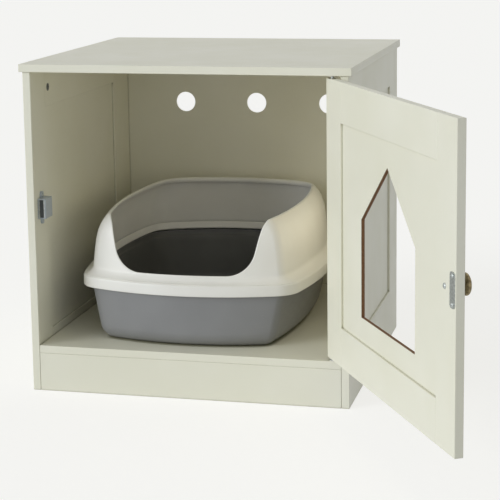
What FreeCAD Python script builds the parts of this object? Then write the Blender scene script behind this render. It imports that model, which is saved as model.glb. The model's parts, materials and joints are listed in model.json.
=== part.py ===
import FreeCAD, Part
import math
import os

from FreeCAD import Vector

# Litter box cabinet with its door standing open, and the litter tray and hood inside.
# Millimetres, +Z up. +X is to the right seen from the front and +Y runs to the back. The
# pieces are drawn from the front plane of the carcass, and saved with the origin on the floor
# under the middle of the plinth board.

# --- Driving dimensions: the carcass ---------------------------------------------------
carcass_width = 500.0
carcass_depth = 475.0
cabinet_height = 510.0
board = 12.0                # thickness of every painted board
top_overhang_side = 5.0
top_overhang_front = 3.0
shelf_top = 72.0            # height of the floor that the tray stands on
back_thickness = 3.0
back_inset = 1.0            # the back panel stops short of the outer faces
arris = 0.8                 # rounding on the edges of the boards
plinth_gap = 0.3            # dark line at each end of the plinth and the shelf

# --- Driving dimensions: framed panels -------------------------------------------------
panel_thickness = 5.0
groove_depth = 8.0
groove_play = 0.1           # on each face of a panel or tongue in its groove
groove_end_play = 0.5
side_front_stile = 60.0
side_rear_stile = 80.0
side_top_rail = 60.0
side_bottom_rail = 84.0
door_stile = 60.0
door_rail = 59.0

# --- Driving dimensions: the door and its pivots ----------------------------------------
door_side_gap = 3.5
door_end_gap = 4.0
door_open_angle = 120.0
pivot_from_edge = 9.5
pin_radius = 2.5
pin_in_door = 22.0
pivot_running_gap = 0.05
bush_radius = 4.0
bush_depth = 8.5
bush_flange_radius = 6.0
bush_flange = 1.0
pin_collar_radius = 4.5

# --- Driving dimensions: openings -------------------------------------------------------
cutout_width = 197.0
cutout_above_rail = 35.0    # from the door's bottom rail to the sill of the cut-out
cutout_below_rail = 37.0    # from the peak of the cut-out to the door's top rail
gable_rise = 88.0           # from the shoulders of the cut-out to its peak
vent_radius = 17.5
vent_spacing = 130.0
vent_below_top = 102.0      # from the underside of the top board to the vents' centres

# --- Driving dimensions: knob, strike plate and catch -----------------------------------
knob_from_free_edge = 33.0
knob_radius = 14.5
knob_projection = 20.0
knob_neck_radius = 6.5
knob_foot_radius = 9.0
knob_screw_radius = 2.0
knob_screw_head_radius = 4.0
knob_screw_head = 2.2
knob_screw_slot = 1.0
knob_screw_in_knob = 11.0
strike_width = 15.0
strike_height = 45.0
strike_thickness = 1.0
strike_from_free_edge = 1.5
catch_height = 31.0
catch_body = 13.0           # how far the housing stands off the side panel
catch_length = 28.0
catch_air_gap = 0.5         # between the pole plates and the strike plate
catch_wall = 1.6
catch_ear = 10.0
catch_ear_thickness = 2.5
pole_thickness = 1.6
catch_screw_spacing = 38.0
small_screw_radius = 1.5
small_screw_head_radius = 3.0
small_screw_head = 1.4
small_screw_length = 9.0

# --- Driving dimensions: knock-down fittings --------------------------------------------
cam_radius = 6.0
cam_depth = 9.5
cam_from_front = 74.0
cam_from_rear = 94.0
cam_reach_top = 31.0        # from the joint face to the centre of the cam
cam_reach_shelf = 24.0
cam_bolt_radius = 2.5
cam_bolt_head_radius = 3.2
cam_bolt_head_length = 3.2
cam_bolt_anchor = 8.0       # threaded length in the board that the bolt is driven into
cam_bore_gap = 0.1
fit_gap = 0.05              # between a fastener and its hole
dowel_radius = 3.0
dowel_anchor = 7.0
dowel_reach = 17.0
dowel_from_edge = 30.0
nail_radius = 0.8
nail_length = 16.0
nail_head_radius = 2.2
nail_head = 0.8
nails_per_side = 4
nails_per_rail = 3

# --- Driving dimensions: litter tray and hood --------------------------------------------
tray_offset = -16.0         # the tray stands a little to the left of the middle
tray_foot_gap = 0.3
tray_wall = 2.5
tray_height = 98.5
tray_front_gap = 20.0       # rim to the front plane of the carcass
tray_rear_gap = 10.0        # rim to the back panel
rim_half_width = 192.0      # at the middle of the bowed sides
front_bow_radius = 400.0
side_bow_radius = 750.0
rear_bow_radius = 300.0
front_corner = 45.0         # of the rim
wall_corner = 20.0          # of the walls below and above it
rear_corner = 52.0
rim_drop = 18.5             # height of the hood's outer skirt
rim_play = 0.6
rim_thickness = 3.0
base_side_inset = 28.5      # all of these are measured from the rim's outline
base_front_inset = 11.0
base_rear_inset = 20.0
mouth_side_inset = 14.0
mouth_front_inset = 7.0
mouth_rear_inset = 9.0
tray_bottom_round = 18.0
hood_wall = 2.4
hood_seat_gap = 0.3
hood_height = 97.2          # from the tray's rim to the top edge of the hood
ledge_rise = 10.5           # height of the sloping ledge between skirt and wall
ledge_side_inset = 17.0
ledge_front_inset = 13.0
ledge_rear_inset = 12.0
hood_lean_side = 25.5
hood_lean_front = 22.0
hood_lean_rear = 14.0
hood_lip = 9.0
entry_half_width = 112.0
entry_sill = 1.0            # wall left standing above the ledge in the entry
entry_corner = 44.0
entry_flare = 22.0          # how far the entry widens at the top
entry_flare_height = 40.0
wall_bulge = ((0.5, 0.2), (0.81, 0.52))     # (share of the wall's height, share of its lean)
entry_reach = 78.0          # from the rim's front to the inner end of the cut

# --- Worked out from the driving dimensions ----------------------------------------------
half_outer = carcass_width / 2
half_inner = half_outer - board
side_height = cabinet_height - board
shelf_underside = shelf_top - board
plinth_height = shelf_underside
door_width = 2 * (half_inner - door_side_gap)
door_bottom = shelf_top + door_end_gap
door_top = side_height - door_end_gap
door_height = door_top - door_bottom
door_middle = (door_bottom + door_top) / 2
cutout_sill = door_bottom + door_rail + cutout_above_rail
cutout_peak = door_top - door_rail - cutout_below_rail
cutout_shoulder = cutout_peak - gable_rise
hinge_edge_x = half_inner - door_side_gap
plinth_middle = Vector(0, board / 2, 0)
pivot = Vector(hinge_edge_x - pivot_from_edge, board / 2, 0)
tray_base_z = shelf_top + tray_foot_gap
tray_rim_z = tray_base_z + tray_height
rim_front = tray_front_gap
rim_rear = carcass_depth - tray_rear_gap
hood_seat_z = tray_rim_z + hood_seat_gap
hood_top_z = tray_rim_z + hood_height


def rounded_board(x0, x1, y0, y1, z0, z1, radius=arris):
    """A board with every edge rounded a little."""
    block = Part.makeBox(x1 - x0, y1 - y0, z1 - z0, Vector(x0, y0, z0))
    return block.makeFillet(radius, block.Edges)


def plain_box(x0, x1, y0, y1, z0, z1):
    return Part.makeBox(x1 - x0, y1 - y0, z1 - z0, Vector(x0, y0, z0))


def rod(radius, length, start, direction):
    return Part.makeCylinder(radius, length, start, direction)


def turned(profile, start, direction):
    """A turned solid: profile is a closed list of (radius, height) points."""
    points = [Vector(r, 0, h) for r, h in profile]
    wire = Part.makePolygon(points + points[:1])
    solid = Part.Face(wire).revolve(Vector(0, 0, 0), Vector(0, 0, 1), 360)
    solid = Part.Solid(solid) if solid.ShapeType != "Solid" else solid
    solid.Placement = FreeCAD.Placement(start, FreeCAD.Rotation(Vector(0, 0, 1), direction))
    return solid


def save(name, drawn):
    shape = drawn.copy()
    shape.translate(plinth_middle * -1)
    shape.exportStep("parts/" + name + ".step")
    print(name, len(shape.Solids), "solid(s)", round(shape.Volume / 1000, 1), "cm3", shape.isValid())


# --- Framed panels -------------------------------------------------------------------------
def framed_panel(width, height, stile_a, stile_b, rail_low, rail_high):
    """Two stiles, two rails and an inset panel, lying along X with the thickness along Y.
    The stiles run the full height. The rails' tongues and the panel sit in one groove."""
    middle = board / 2
    half_panel = panel_thickness / 2
    half_groove = half_panel + groove_play

    def groove(x0, x1, z0, z1):
        return plain_box(x0, x1, middle - half_groove, middle + half_groove, z0, z1)

    def tongue(x0, x1, z0, z1):
        return plain_box(x0, x1, middle - half_panel, middle + half_panel, z0, z1)

    left_edge = stile_a
    right_edge = width - stile_b
    low_edge = rail_low
    high_edge = height - rail_high
    reach = groove_depth - groove_end_play

    stile_left = rounded_board(0, left_edge, 0, board, 0, height)
    stile_left = stile_left.cut(groove(left_edge - groove_depth, left_edge + 1, -1, height + 1))
    stile_right = rounded_board(right_edge, width, 0, board, 0, height)
    stile_right = stile_right.cut(groove(right_edge - 1, right_edge + groove_depth, -1, height + 1))

    rail_bottom = rounded_board(left_edge, right_edge, 0, board, 0, low_edge)
    rail_bottom = rail_bottom.fuse(tongue(left_edge - reach, right_edge + reach, 0, low_edge - groove_depth))
    rail_bottom = rail_bottom.cut(groove(left_edge - 1, right_edge + 1, low_edge - groove_depth, low_edge + 1))
    rail_top = rounded_board(left_edge, right_edge, 0, board, high_edge, height)
    rail_top = rail_top.fuse(tongue(left_edge - reach, right_edge + reach, high_edge + groove_depth, height))
    rail_top = rail_top.cut(groove(left_edge - 1, right_edge + 1, high_edge - 1, high_edge + groove_depth))

    panel = tongue(left_edge - reach, right_edge + reach, low_edge - reach, high_edge + reach)
    return {
        "stile_a": stile_left,
        "stile_b": stile_right,
        "bottom_rail": rail_bottom,
        "top_rail": rail_top,
        "panel": panel,
    }


def stand_side(shape, inner_or_outer_x):
    """Turns a framed panel to run along +Y, its thickness from the given X towards -X."""
    placed = shape.copy()
    placed.rotate(Vector(0, 0, 0), Vector(0, 0, 1), 90)
    placed.translate(Vector(inner_or_outer_x, 0, 0))
    return placed


def close_door(shape):
    """Turns a part of the door into the closed doorway, hinge edge to the right."""
    placed = shape.copy()
    placed.rotate(Vector(0, 0, 0), Vector(0, 0, 1), 180)
    placed.translate(Vector(hinge_edge_x, board, door_bottom))
    return placed


def open_door(shape):
    placed = shape.copy()
    placed.rotate(pivot, Vector(0, 0, 1), door_open_angle)
    return placed


# --- Knock-down fittings --------------------------------------------------------------------
def cam_bolt(joint, into_board):
    """Bolt driven into one board, its head held in the other board's cam.
    joint is on the joint face and into_board points into the board it is driven into."""
    reach = cam_reach_top if abs(into_board.z) > 0.5 else cam_reach_shelf
    half_head = cam_bolt_head_length / 2
    rim = cam_bolt_head_radius
    length = cam_bolt_anchor + reach
    profile = [
        (0, -half_head),
        (rim * 0.7, -half_head),
        (rim, -half_head * 0.4),
        (rim, half_head * 0.4),
        (cam_bolt_radius * 0.7, half_head),
        (cam_bolt_radius * 0.7, cam_radius),
        (cam_bolt_radius, cam_radius + cam_bolt_head_length / 2),
        (cam_bolt_radius, length),
        (0, length),
    ]
    return turned(profile, joint - into_board * reach, into_board)


def cam_bolt_holes(joint, into_board):
    """Anchor hole in one board and the clearance bore through to the cam in the other."""
    reach = cam_reach_top if abs(into_board.z) > 0.5 else cam_reach_shelf
    anchor = rod(cam_bolt_radius + fit_gap, cam_bolt_anchor + fit_gap, joint, into_board)
    bore = rod(cam_bolt_head_radius + cam_bore_gap, reach, joint, into_board * -1)
    return anchor, bore


def cam_nut(face_point, into_board, bolt_side):
    """Round cam let into a face, with a cross in its end and a hollow for the bolt's head."""
    body = rod(cam_radius, cam_depth, face_point, into_board)
    past_centre = cam_bolt_head_length / 2 + cam_bore_gap
    hollow_start = face_point + into_board * (board / 2) - bolt_side * past_centre
    hollow = rod(cam_bolt_head_radius + cam_bore_gap, cam_radius + past_centre + 1, hollow_start, bolt_side)
    body = body.cut(hollow)
    slot_length = cam_radius * 1.2
    slot_width = cam_radius * 0.25
    across = bolt_side
    along = into_board.cross(bolt_side)
    for one, other in ((across, along), (along, across)):
        bar = Part.makeBox(slot_length, slot_width, cam_depth * 0.12)
        bar.translate(Vector(-slot_length / 2, -slot_width / 2, 0))
        turn = FreeCAD.Matrix(
            one.x, other.x, into_board.x, face_point.x,
            one.y, other.y, into_board.y, face_point.y,
            one.z, other.z, into_board.z, face_point.z,
            0, 0, 0, 1,
        )
        body = body.cut(bar.transformGeometry(turn))
    return body


def cam_pocket(face_point, into_board):
    return rod(cam_radius + fit_gap, cam_depth + fit_gap, face_point, into_board)


def dowel_between(joint, into_board):
    pin = rod(dowel_radius, dowel_anchor + dowel_reach, joint - into_board * dowel_reach, into_board)
    return pin.makeChamfer(dowel_radius * 0.2, [e for e in pin.Edges if isinstance(e.Curve, Part.Circle)])


def dowel_hole(joint, into_board):
    length = dowel_anchor + dowel_reach + 2 * fit_gap
    start = joint - into_board * (dowel_reach + fit_gap)
    return rod(dowel_radius + fit_gap, length, start, into_board)


def cut_all(shape, tools):
    for tool in tools:
        shape = shape.cut(tool)
    return shape


# --- Cabinet ---------------------------------------------------------------------------------
def build_cabinet():
    side = framed_panel(
        carcass_depth, side_height, side_front_stile, side_rear_stile, side_bottom_rail, side_top_rail
    )
    left = {part: stand_side(shape, -half_inner) for part, shape in side.items()}
    right = {part: stand_side(shape, half_outer) for part, shape in side.items()}
    top = rounded_board(
        -half_outer - top_overhang_side,
        half_outer + top_overhang_side,
        -top_overhang_front,
        carcass_depth,
        side_height,
        cabinet_height,
    )
    shelf_end = half_inner - plinth_gap
    shelf = rounded_board(-shelf_end, shelf_end, 0, carcass_depth, shelf_underside, shelf_top)
    plinth = rounded_board(-shelf_end, shelf_end, 0, board, 0, plinth_height)
    back_edge = half_outer - back_inset
    back = plain_box(
        -back_edge,
        back_edge,
        carcass_depth,
        carcass_depth + back_thickness,
        shelf_underside - board,
        cabinet_height - back_inset,
    )
    for step in (-1, 0, 1):
        centre = Vector(step * vent_spacing, carcass_depth - 1, side_height - vent_below_top)
        back = back.cut(rod(vent_radius, back_thickness + 2, centre, Vector(0, 1, 0)))

    bolts_top, nuts_top, bolts_shelf, nuts_shelf, dowels = [], [], [], [], []
    mid_board = board / 2
    up = Vector(0, 0, 1)
    shelf_mid = shelf_underside + mid_board
    for hand, frame in ((-1, left), (1, right)):
        outward = Vector(hand, 0, 0)
        side_mid_x = hand * (half_inner + mid_board)
        for y in (cam_from_front, carcass_depth - cam_from_rear):
            # Top joint: the bolt hangs from the top board and the cam is in the side's top rail.
            joint = Vector(side_mid_x, y, side_height)
            anchor, bore = cam_bolt_holes(joint, up)
            face_point = Vector(hand * half_inner, y, side_height - cam_reach_top)
            top = top.cut(anchor)
            frame["top_rail"] = cut_all(frame["top_rail"], [bore, cam_pocket(face_point, outward)])
            bolts_top.append(cam_bolt(joint, up))
            nuts_top.append(cam_nut(face_point, outward, up))
            # Shelf joint: the bolt is driven into the side and the cam is in the shelf's underside.
            joint = Vector(hand * half_inner, y, shelf_mid)
            anchor, bore = cam_bolt_holes(joint, outward)
            face_point = Vector(hand * (half_inner - cam_reach_shelf), y, shelf_underside)
            frame["bottom_rail"] = frame["bottom_rail"].cut(anchor)
            shelf = cut_all(shelf, [bore, cam_pocket(face_point, up)])
            bolts_shelf.append(cam_bolt(joint, outward))
            nuts_shelf.append(cam_nut(face_point, up, outward))
        for y, stile in ((dowel_from_edge, "stile_a"), (carcass_depth - dowel_from_edge, "stile_b")):
            joint = Vector(side_mid_x, y, side_height)
            dowels.append(dowel_between(joint, up))
            hole = dowel_hole(joint, up)
            top = top.cut(hole)
            frame[stile] = frame[stile].cut(hole)
            joint = Vector(hand * half_inner, y, shelf_mid)
            dowels.append(dowel_between(joint, outward))
            hole = dowel_hole(joint, outward)
            shelf = shelf.cut(hole)
            frame[stile] = frame[stile].cut(hole)
        for z in (plinth_height * 0.25, plinth_height * 0.75):
            joint = Vector(hand * half_inner, mid_board, z)
            dowels.append(dowel_between(joint, outward))
            hole = dowel_hole(joint, outward)
            plinth = plinth.cut(hole)
            frame["stile_a"] = frame["stile_a"].cut(hole)

    nails = []
    nail_points = []
    nail_low = shelf_underside + mid_board
    nail_high = side_height + mid_board
    for count in range(nails_per_side):
        z = nail_low + (nail_high - nail_low) * (count + 0.5) / nails_per_side
        nail_points += [("left", -half_outer + mid_board, z), ("right", half_outer - mid_board, z)]
    for count in range(nails_per_rail):
        x = carcass_width * ((count + 0.5) / nails_per_rail - 0.5)
        nail_points += [("shelf", x, nail_low), ("top", x, nail_high)]
    rear_face = carcass_depth + back_thickness
    for board_name, x, z in nail_points:
        start = Vector(x, rear_face - nail_length, z)
        shank = rod(nail_radius, nail_length, start, Vector(0, 1, 0))
        head = rod(nail_head_radius, nail_head, Vector(x, rear_face, z), Vector(0, 1, 0))
        nails.append(shank.fuse(head).removeSplitter())
        hole = rod(nail_radius + fit_gap, nail_length + fit_gap, start - Vector(0, fit_gap, 0), Vector(0, 1, 0))
        back = back.cut(hole)
        if board_name == "left":
            left["stile_b"] = left["stile_b"].cut(hole)
        elif board_name == "right":
            right["stile_b"] = right["stile_b"].cut(hole)
        elif board_name == "shelf":
            shelf = shelf.cut(hole)
        else:
            top = top.cut(hole)

    bush_low, bush_high, seat_low, seat_high = build_bushes()
    shelf = shelf.cut(seat_low)
    top = top.cut(seat_high)
    catch, screw_holes = build_catch()
    left["stile_a"] = cut_all(left["stile_a"], screw_holes)

    save("top_board", top)
    save("bottom_shelf", shelf)
    save("plinth_board", plinth)
    save("back_panel", back)
    for hand_name, frame in (("left", left), ("right", right)):
        save(hand_name + "_front_stile", frame["stile_a"])
        save(hand_name + "_rear_stile", frame["stile_b"])
        save(hand_name + "_bottom_rail", frame["bottom_rail"])
        save(hand_name + "_top_rail", frame["top_rail"])
        save(hand_name + "_side_panel", frame["panel"])
    save("top_cam_bolts", Part.makeCompound(bolts_top))
    save("top_cam_nuts", Part.makeCompound(nuts_top))
    save("shelf_cam_bolts", Part.makeCompound(bolts_shelf))
    save("shelf_cam_nuts", Part.makeCompound(nuts_shelf))
    save("carcass_dowels", Part.makeCompound(dowels))
    save("back_panel_nails", Part.makeCompound(nails))
    save("lower_pivot_bush", bush_low)
    save("upper_pivot_bush", bush_high)
    for part, shape in catch.items():
        save(part, shape)


def build_bushes():
    """Flanged bushes for the door's pivots: one in the shelf and one in the top board."""
    bore = pin_radius + pivot_running_gap
    profile = [
        (bore, -bush_depth),
        (bush_radius, -bush_depth),
        (bush_radius, 0),
        (bush_flange_radius, 0),
        (bush_flange_radius, bush_flange),
        (bore, bush_flange),
    ]
    down = Vector(0, 0, -1)
    up = Vector(0, 0, 1)
    low_point = pivot + up * shelf_top
    high_point = pivot + up * side_height
    low = turned(profile, low_point, up)
    high = turned(profile, high_point, down)
    seat_low = rod(bush_radius + fit_gap, bush_depth + fit_gap, low_point, down)
    seat_high = rod(bush_radius + fit_gap, bush_depth + fit_gap, high_point, up)
    return low, high, seat_low, seat_high


def build_catch():
    """Magnetic catch on the left side: housing with two screw ears, magnet and pole plates."""
    wall_x = -half_inner
    pole_face = board + strike_thickness + catch_air_gap
    mouth_y = pole_face + pole_thickness / 2
    rear_y = mouth_y + catch_length
    z0 = door_middle - catch_height / 2
    z1 = door_middle + catch_height / 2
    outer = plain_box(wall_x, wall_x + catch_body, mouth_y, rear_y, z0, z1)
    long_edges = [e for e in outer.Edges if e.CenterOfMass.x > wall_x + catch_body - 0.1]
    outer = outer.makeFillet(catch_wall * 0.8, long_edges)
    cavity = plain_box(
        wall_x + catch_wall,
        wall_x + catch_body - catch_wall,
        mouth_y - 1,
        rear_y - catch_wall,
        z0 + catch_wall,
        z1 - catch_wall,
    )
    housing = outer.cut(cavity)
    ear_y0 = mouth_y + catch_length * 0.35
    ear_y1 = ear_y0 + catch_length * 0.35
    ears = plain_box(wall_x, wall_x + catch_ear_thickness, ear_y0, ear_y1, z0 - catch_ear, z1 + catch_ear)
    end_edges = [e for e in ears.Edges if abs(e.CenterOfMass.z - door_middle) > catch_height / 2
                 and abs(e.tangentAt(e.FirstParameter).x) > 0.9]
    ears = ears.makeFillet((ear_y1 - ear_y0) * 0.45, end_edges)
    housing = housing.fuse(ears).cut(cavity).removeSplitter()
    ear_y = (ear_y0 + ear_y1) / 2

    inner_x0 = wall_x + catch_wall + fit_gap
    inner_x1 = wall_x + catch_body - catch_wall - fit_gap
    inner_z0 = z0 + catch_wall + fit_gap
    inner_z1 = z1 - catch_wall - fit_gap
    rear_inner = rear_y - catch_wall - fit_gap
    plate_a = plain_box(inner_x0, inner_x0 + pole_thickness, pole_face, rear_inner, inner_z0, inner_z1)
    plate_b = plain_box(inner_x1 - pole_thickness, inner_x1, pole_face, rear_inner, inner_z0, inner_z1)
    magnet = plain_box(
        inner_x0 + pole_thickness,
        inner_x1 - pole_thickness,
        pole_face + pole_thickness,
        rear_inner,
        inner_z0,
        inner_z1,
    )
    screws, holes = [], []
    for end in (-1, 1):
        seat = Vector(wall_x + catch_ear_thickness, ear_y, door_middle + end * catch_screw_spacing / 2)
        screw, hole = small_screw(seat, Vector(1, 0, 0))
        housing = housing.cut(hole)
        screws.append(screw)
        holes.append(hole)
    parts = {
        "catch_housing": housing,
        "catch_magnet": magnet,
        "catch_pole_plates": Part.makeCompound([plate_a, plate_b]),
        "catch_screws": Part.makeCompound(screws),
    }
    return parts, holes


def small_screw(seat, outward):
    """Round-head wood screw: seat is under its head and outward points out of the board."""
    head = turned(
        [(0, 0), (small_screw_head_radius, 0), (small_screw_head_radius * 0.75, small_screw_head * 0.75),
         (small_screw_head_radius * 0.35, small_screw_head), (0, small_screw_head)],
        seat,
        outward,
    )
    shank = rod(small_screw_radius, small_screw_length, seat - outward * small_screw_length, outward)
    hole = rod(
        small_screw_radius + fit_gap,
        small_screw_length + fit_gap,
        seat - outward * (small_screw_length + fit_gap),
        outward,
    )
    return head.fuse(shank), hole


# --- Door --------------------------------------------------------------------------------------
def build_door():
    door = framed_panel(door_width, door_height, door_stile, door_stile, door_rail, door_rail)
    half_cut = cutout_width / 2
    centre = door_width / 2
    outline = [
        (centre - half_cut, cutout_sill),
        (centre + half_cut, cutout_sill),
        (centre + half_cut, cutout_shoulder),
        (centre, cutout_peak),
        (centre - half_cut, cutout_shoulder),
    ]
    points = [Vector(x, -1, z - door_bottom) for x, z in outline]
    house = Part.Face(Part.makePolygon(points + points[:1])).extrude(Vector(0, board + 2, 0))
    door["panel"] = door["panel"].cut(house)
    parts = {name: close_door(shape) for name, shape in door.items()}

    pins = {}
    for name, end_z, inward in (
        ("lower_hinge_pin", door_bottom, 1),
        ("upper_hinge_pin", door_top, -1),
    ):
        direction = Vector(0, 0, inward)
        in_bush = door_end_gap + bush_depth - 1.0
        start = pivot + Vector(0, 0, end_z) - direction * in_bush
        pin = rod(pin_radius, in_bush + pin_in_door, start, direction)
        hole = rod(pin_radius, pin_in_door, pivot + Vector(0, 0, end_z), direction)
        collar_height = door_end_gap - bush_flange - pivot_running_gap
        if name == "lower_hinge_pin":
            collar_start = pivot + Vector(0, 0, end_z - collar_height)
            pin = pin.fuse(rod(pin_collar_radius, collar_height, collar_start, direction))
        pins[name] = pin.removeSplitter()
        parts["stile_a"] = parts["stile_a"].cut(hole)

    knob_x = -hinge_edge_x + knob_from_free_edge
    strike_x = -hinge_edge_x + strike_from_free_edge + strike_width / 2
    fittings = build_knob(Vector(knob_x, 0, door_middle))
    knob_hole = rod(knob_screw_radius + fit_gap, board + 2, Vector(knob_x, -1, door_middle), Vector(0, 1, 0))
    strike, strike_screws, holes = build_strike(Vector(strike_x, board, door_middle))
    parts["stile_b"] = cut_all(parts["stile_b"], [knob_hole] + holes)
    fittings["strike_plate"] = strike
    fittings["strike_screws"] = strike_screws

    names = {
        "stile_a": "door_hinge_stile",
        "stile_b": "door_knob_stile",
        "top_rail": "door_top_rail",
        "bottom_rail": "door_bottom_rail",
        "panel": "door_panel",
    }
    for part, node in names.items():
        save(node, open_door(parts[part]))
    for extra in (pins, fittings):
        for node, shape in extra.items():
            save(node, open_door(shape))


def build_knob(foot):
    """Turned knob on the door's outer face, held by one screw from the inside."""
    out = Vector(0, -1, 0)
    head_low = knob_projection * 0.52
    rim = knob_projection * 0.72
    profile = [
        (0, 0),
        (knob_foot_radius, 0),
        (knob_foot_radius, knob_projection * 0.08),
        (knob_neck_radius, knob_projection * 0.22),
        (knob_neck_radius, head_low * 0.85),
        (knob_radius * 0.8, head_low),
        (knob_radius * 0.97, rim * 0.88),
        (knob_radius, rim),
        (knob_radius * 0.94, knob_projection * 0.86),
        (knob_radius * 0.7, knob_projection * 0.96),
        (knob_radius * 0.3, knob_projection),
        (0, knob_projection),
    ]
    knob = turned(profile, foot, out)
    knob = knob.cut(rod(knob_screw_radius + fit_gap, knob_screw_in_knob + fit_gap, foot, out))
    inside = foot + Vector(0, board, 0)
    shank = rod(knob_screw_radius, board + knob_screw_in_knob, inside, out)
    head = turned(
        [(0, 0), (knob_screw_head_radius, 0), (knob_screw_head_radius, knob_screw_head * 0.45),
         (knob_screw_head_radius * 0.6, knob_screw_head), (0, knob_screw_head)],
        inside,
        out * -1,
    )
    slot = plain_box(
        inside.x - knob_screw_slot / 2,
        inside.x + knob_screw_slot / 2,
        inside.y + knob_screw_head * 0.5,
        inside.y + knob_screw_head + 1,
        inside.z - knob_screw_head_radius,
        inside.z + knob_screw_head_radius,
    )
    return {"knob": knob, "knob_screw": head.cut(slot).fuse(shank)}


def build_strike(centre):
    """Steel strike plate with rounded ends on the door's inner face, and its two screws."""
    half_w = strike_width / 2
    half_h = strike_height / 2
    plate = plain_box(
        centre.x - half_w,
        centre.x + half_w,
        centre.y,
        centre.y + strike_thickness,
        centre.z - half_h,
        centre.z + half_h,
    )
    corners = [e for e in plate.Edges if abs(e.tangentAt(e.FirstParameter).y) > 0.9]
    plate = plate.makeFillet(half_w * 0.6, corners)
    screws, holes = [], []
    for end in (-1, 1):
        seat = centre + Vector(0, strike_thickness, end * (half_h - strike_width * 0.3))
        screw, hole = small_screw(seat, Vector(0, 1, 0))
        plate = plate.cut(hole)
        screws.append(screw)
        holes.append(hole)
    return plate, Part.makeCompound(screws), holes


# --- Litter tray and hood ------------------------------------------------------------------------
def touching_corner(bow_a, radius_a, bow_b, radius_b, corner):
    """Centre of a corner arc that runs smoothly into two bows whose centres are given."""
    reach_a = radius_a - corner
    reach_b = radius_b - corner
    apart = bow_b - bow_a
    distance = apart.Length
    along = (distance ** 2 + reach_a ** 2 - reach_b ** 2) / (2 * distance)
    aside = math.sqrt(reach_a ** 2 - along ** 2)
    unit = apart / distance
    foot = bow_a + unit * along
    across = Vector(-unit.y, unit.x, 0)
    choices = (foot + across * aside, foot - across * aside)
    return max(choices, key=lambda centre: centre.x)


def tray_outline(half_width, front, rear, z, inset, corner):
    """Closed outline at one height: four bowed sides that run into round corners.
    inset moves the whole line inwards by a wall's thickness."""
    half_width, front, rear = half_width - inset, front + inset, rear - inset
    r_front = front_bow_radius - inset
    r_side = side_bow_radius - inset
    r_rear = rear_bow_radius - inset
    corner_f = corner - inset
    corner_r = rear_corner - inset
    mid_y = (front + rear) / 2
    bow_front = Vector(0, front + r_front, 0)
    bow_side = Vector(half_width - r_side, mid_y, 0)
    bow_rear = Vector(0, rear - r_rear, 0)
    near = touching_corner(bow_front, r_front, bow_side, r_side, corner_f)
    far = touching_corner(bow_rear, r_rear, bow_side, r_side, corner_r)

    def out_from(bow, through, radius):
        return bow + (through - bow).normalize() * radius

    def corner_middle(centre, bow, radius):
        return centre - ((bow_side - centre).normalize() + (bow - centre).normalize()).normalize() * radius

    right = [
        out_from(bow_front, near, r_front),
        corner_middle(near, bow_front, corner_f),
        out_from(bow_side, near, r_side),
        bow_side + Vector(r_side, 0, 0),
        out_from(bow_side, far, r_side),
        corner_middle(far, bow_rear, corner_r),
        out_from(bow_rear, far, r_rear),
    ]
    front_point = Vector(0, front, 0)
    rear_point = Vector(0, rear, 0)
    left = [Vector(-point.x, point.y, 0) for point in reversed(right)]

    def arc(start, middle, end):
        placed = [point + Vector(tray_offset, 0, z) for point in (start, middle, end)]
        return Part.Arc(placed[0], placed[1], placed[2]).toShape()

    edges = [
        arc(right[0], right[1], right[2]),
        arc(right[2], right[3], right[4]),
        arc(right[4], right[5], right[6]),
        arc(right[6], rear_point, left[0]),
        arc(left[0], left[1], left[2]),
        arc(left[2], left[3], left[4]),
        arc(left[4], left[5], left[6]),
        arc(left[6], front_point, right[0]),
    ]
    return Part.Wire(edges)


def rim_outline(z, inset=0.0):
    return tray_outline(rim_half_width, rim_front, rim_rear, z, inset, front_corner)


def wall_outline(side, front, rear, z, inset):
    """The rim's outline moved in by its own distance at the sides, the front and the rear."""
    return tray_outline(rim_half_width - side, rim_front + front, rim_rear - rear, z, inset, wall_corner)


def lofted(*outlines):
    return Part.makeLoft(list(outlines), True, True)


def build_tray():
    def base(z, inset=0.0):
        return wall_outline(base_side_inset, base_front_inset, base_rear_inset, z, inset)

    def mouth(z, inset=0.0):
        return wall_outline(mouth_side_inset, mouth_front_inset, mouth_rear_inset, z, inset)

    def rounded_below(shape, bottom_z, radius):
        edges = [e for e in shape.Edges if e.BoundBox.ZMax < bottom_z + 0.01]
        return shape.makeFillet(radius, edges)

    outer = rounded_below(
        lofted(base(tray_base_z), mouth(tray_rim_z)), tray_base_z, tray_bottom_round
    )
    inner = rounded_below(
        lofted(base(tray_base_z + tray_wall, tray_wall), mouth(tray_rim_z + 0.01, tray_wall)),
        tray_base_z + tray_wall,
        tray_bottom_round - tray_wall,
    )
    reach = hood_wall + rim_play
    rim_low = tray_rim_z - rim_thickness
    rim_plate = lofted(rim_outline(rim_low, reach), rim_outline(tray_rim_z, reach))
    rim_hole = lofted(mouth(rim_low - 1, tray_wall), mouth(tray_rim_z + 1, tray_wall))
    tray = outer.cut(inner).fuse(rim_plate.cut(rim_hole)).removeSplitter()
    save("litter_tray", tray)


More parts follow.
